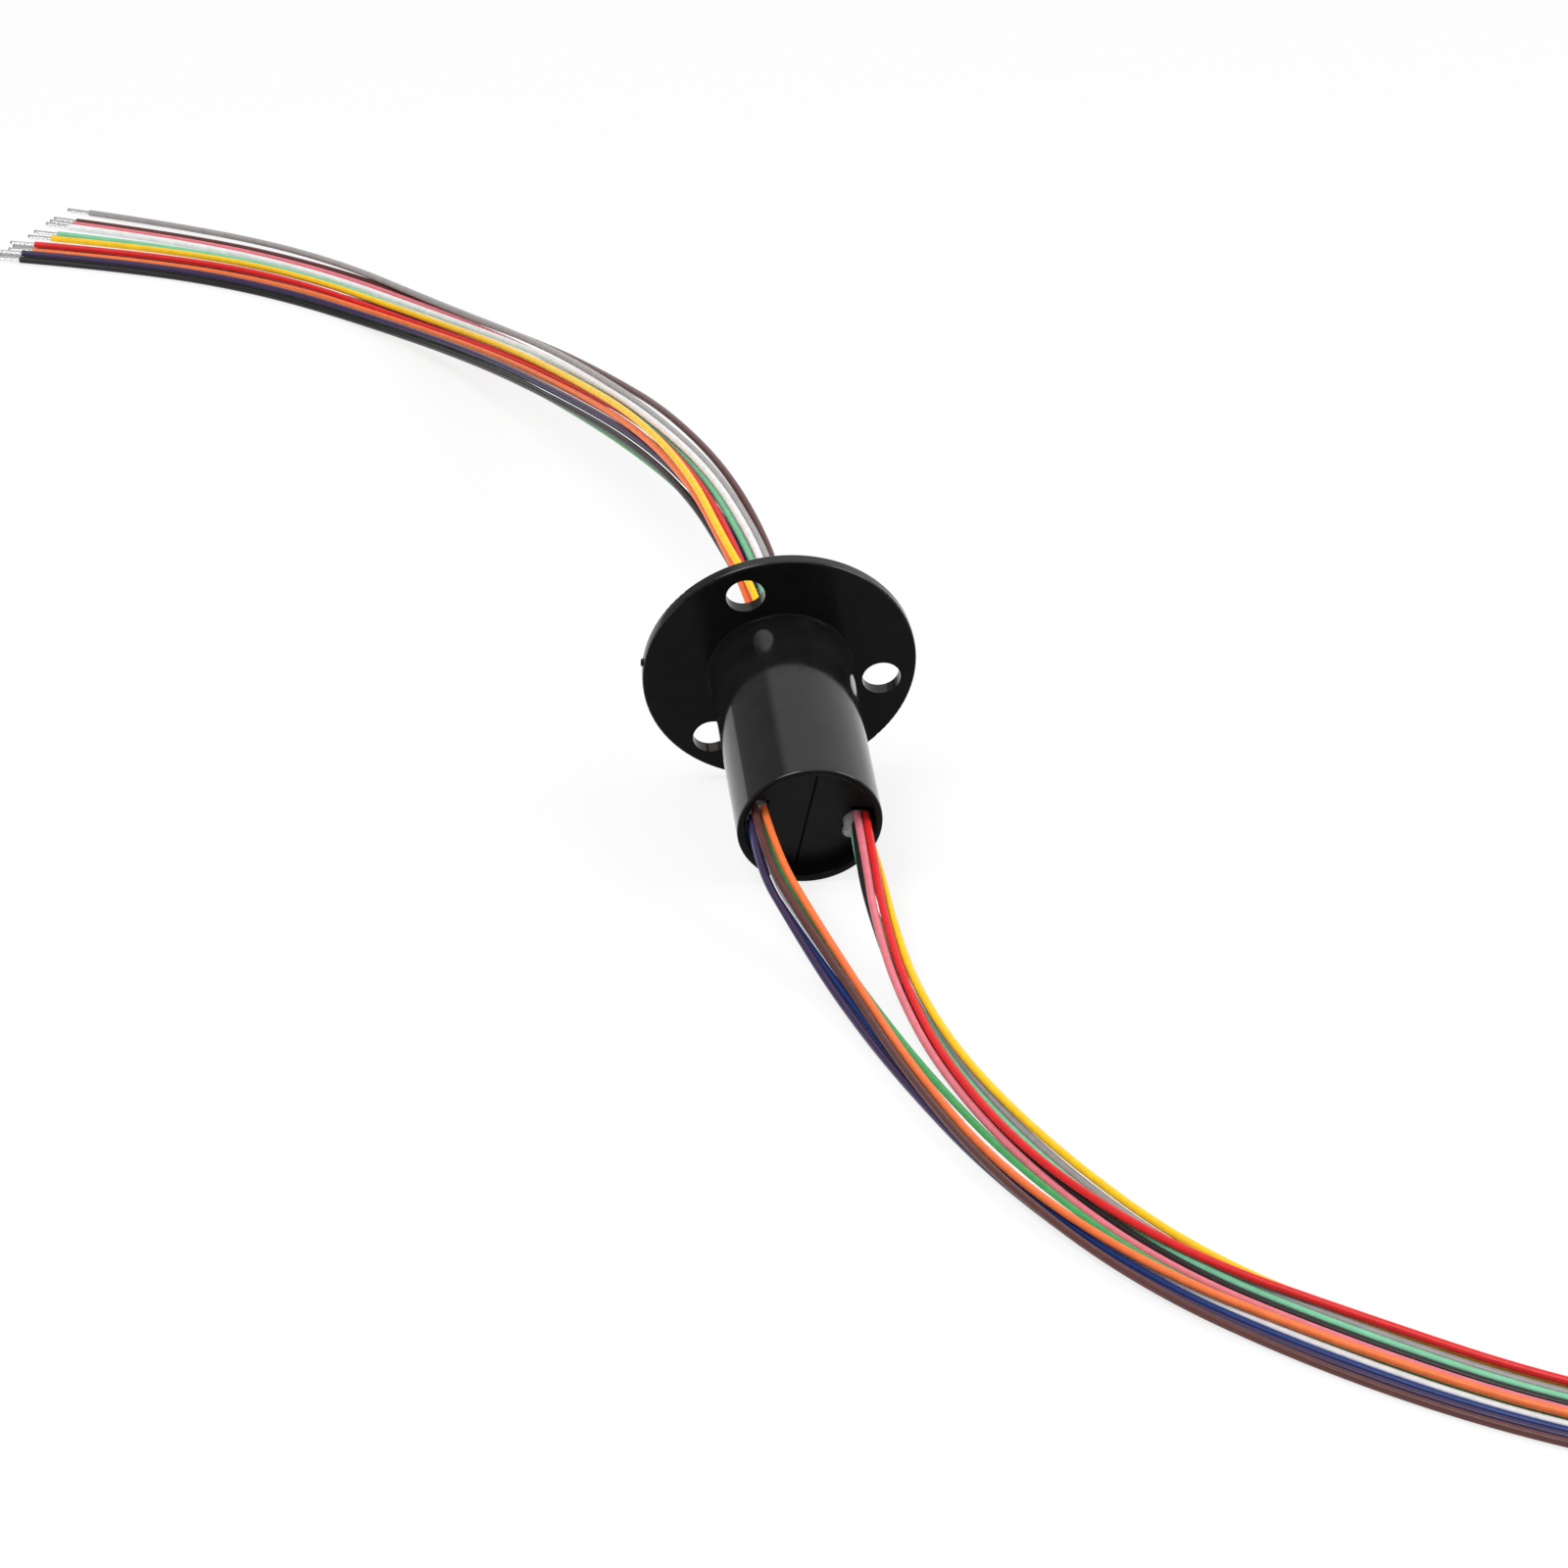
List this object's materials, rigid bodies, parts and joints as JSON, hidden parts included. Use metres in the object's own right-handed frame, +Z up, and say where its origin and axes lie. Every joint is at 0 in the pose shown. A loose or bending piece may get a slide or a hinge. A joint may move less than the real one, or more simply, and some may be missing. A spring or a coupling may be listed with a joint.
{
  "type": "slip ring",
  "caption": "Capsule slip ring: glossy black housing with a drilled mounting flange, a turning spindle with contact rings and brushes inside, and coloured leads at both ends.",
  "frame": {"origin": "on the table, under the middle of the housing and nose as they lie, the leads apart", "axes": "+Z up from the table, -Y towards the open end that the stator leads leave, +Y towards the flange and the rotor leads, +X to the right seen from the open end"},
  "size_m": [0.2504, 0.5154, 0.0413],
  "materials": {
    "housing_plastic": "glossy moulded black plastic",
    "cover_plastic": "satin black plastic",
    "spindle_plastic": "satin black glass-filled plastic",
    "bearing_steel": "ground bearing steel",
    "cage_steel": "pressed steel",
    "ring_gold": "gold-plated brass",
    "brush_gold": "precious-metal spring wire",
    "spacer_plastic": "ivory insulating plastic",
    "carrier_board": "green laminate",
    "holder_plastic": "black plastic",
    "clip_steel": "blackened spring steel",
    "potting_resin": "black potting resin",
    "glue": "translucent hot-melt glue",
    "wire_black": "black wire insulation",
    "wire_brown": "brown wire insulation",
    "wire_red": "red wire insulation",
    "wire_orange": "orange wire insulation",
    "wire_yellow": "yellow wire insulation",
    "wire_green": "green wire insulation",
    "wire_blue": "blue wire insulation",
    "wire_purple": "purple wire insulation",
    "wire_grey": "grey wire insulation",
    "wire_white": "white wire insulation",
    "wire_pink": "pink wire insulation",
    "wire_turquoise": "turquoise wire insulation"
  },
  "bodies": {
    "stator": {"housing": "housing_plastic", "front_bearing_outer_race": "bearing_steel", "front_bearing_shield": "cage_steel", "rear_bearing_outer_race": "bearing_steel", "rear_bearing_holder": "holder_plastic", "brush_carrier_left": "carrier_board", "brush_carrier_right": "carrier_board", "brushes_left": "brush_gold", "brushes_right": "brush_gold", "end_cover_left": "cover_plastic", "end_cover_right": "cover_plastic", "glue_left": "glue", "glue_right": "glue", "stator_wire_black": "wire_black", "stator_wire_brown": "wire_brown", "stator_wire_red": "wire_red", "stator_wire_orange": "wire_orange", "stator_wire_yellow": "wire_yellow", "stator_wire_green": "wire_green", "stator_wire_blue": "wire_blue", "stator_wire_purple": "wire_purple", "stator_wire_grey": "wire_grey", "stator_wire_white": "wire_white", "stator_wire_pink": "wire_pink", "stator_wire_turquoise": "wire_turquoise"},
    "rotor": {"rotor_spindle": "spindle_plastic", "front_bearing_inner_race": "bearing_steel", "rear_bearing_inner_race": "bearing_steel", "ring_spacers": "spacer_plastic", "retaining_clip": "clip_steel", "nose_potting": "potting_resin", "contact_ring_1": "ring_gold", "contact_ring_2": "ring_gold", "contact_ring_3": "ring_gold", "contact_ring_4": "ring_gold", "contact_ring_5": "ring_gold", "contact_ring_6": "ring_gold", "contact_ring_7": "ring_gold", "contact_ring_8": "ring_gold", "contact_ring_9": "ring_gold", "contact_ring_10": "ring_gold", "contact_ring_11": "ring_gold", "contact_ring_12": "ring_gold", "rotor_wire_black": "wire_black", "rotor_wire_brown": "wire_brown", "rotor_wire_red": "wire_red", "rotor_wire_orange": "wire_orange", "rotor_wire_yellow": "wire_yellow", "rotor_wire_green": "wire_green", "rotor_wire_blue": "wire_blue", "rotor_wire_purple": "wire_purple", "rotor_wire_grey": "wire_grey", "rotor_wire_white": "wire_white", "rotor_wire_pink": "wire_pink", "rotor_wire_turquoise": "wire_turquoise"},
    "front_ball_set": {"front_bearing_balls": "bearing_steel", "front_bearing_cage": "cage_steel"},
    "rear_ball_set": {"rear_bearing_balls": "bearing_steel", "rear_bearing_cage": "cage_steel"}
  },
  "joints": [
    {"name": "rotor_spin", "type": "hinge", "parent": "stator", "child": "rotor", "pos_m": [0, 0.01486, 0.02038], "axis": [0, -0.9635, -0.2676], "continuous": true},
    {"name": "front_ball_orbit", "type": "hinge", "parent": "stator", "child": "front_ball_set", "pos_m": [0, 0.01486, 0.02038], "axis": [0, -0.9635, -0.2676], "continuous": true},
    {"name": "rear_ball_orbit", "type": "hinge", "parent": "stator", "child": "rear_ball_set", "pos_m": [0, 0.01486, 0.02038], "axis": [0, -0.9635, -0.2676], "continuous": true}
  ],
  "couplings": [
    {"joint": "front_ball_orbit", "follows": "rotor_spin", "ratio": 0.42727},
    {"joint": "rear_ball_orbit", "follows": "rotor_spin", "ratio": 0.42727}
  ]
}
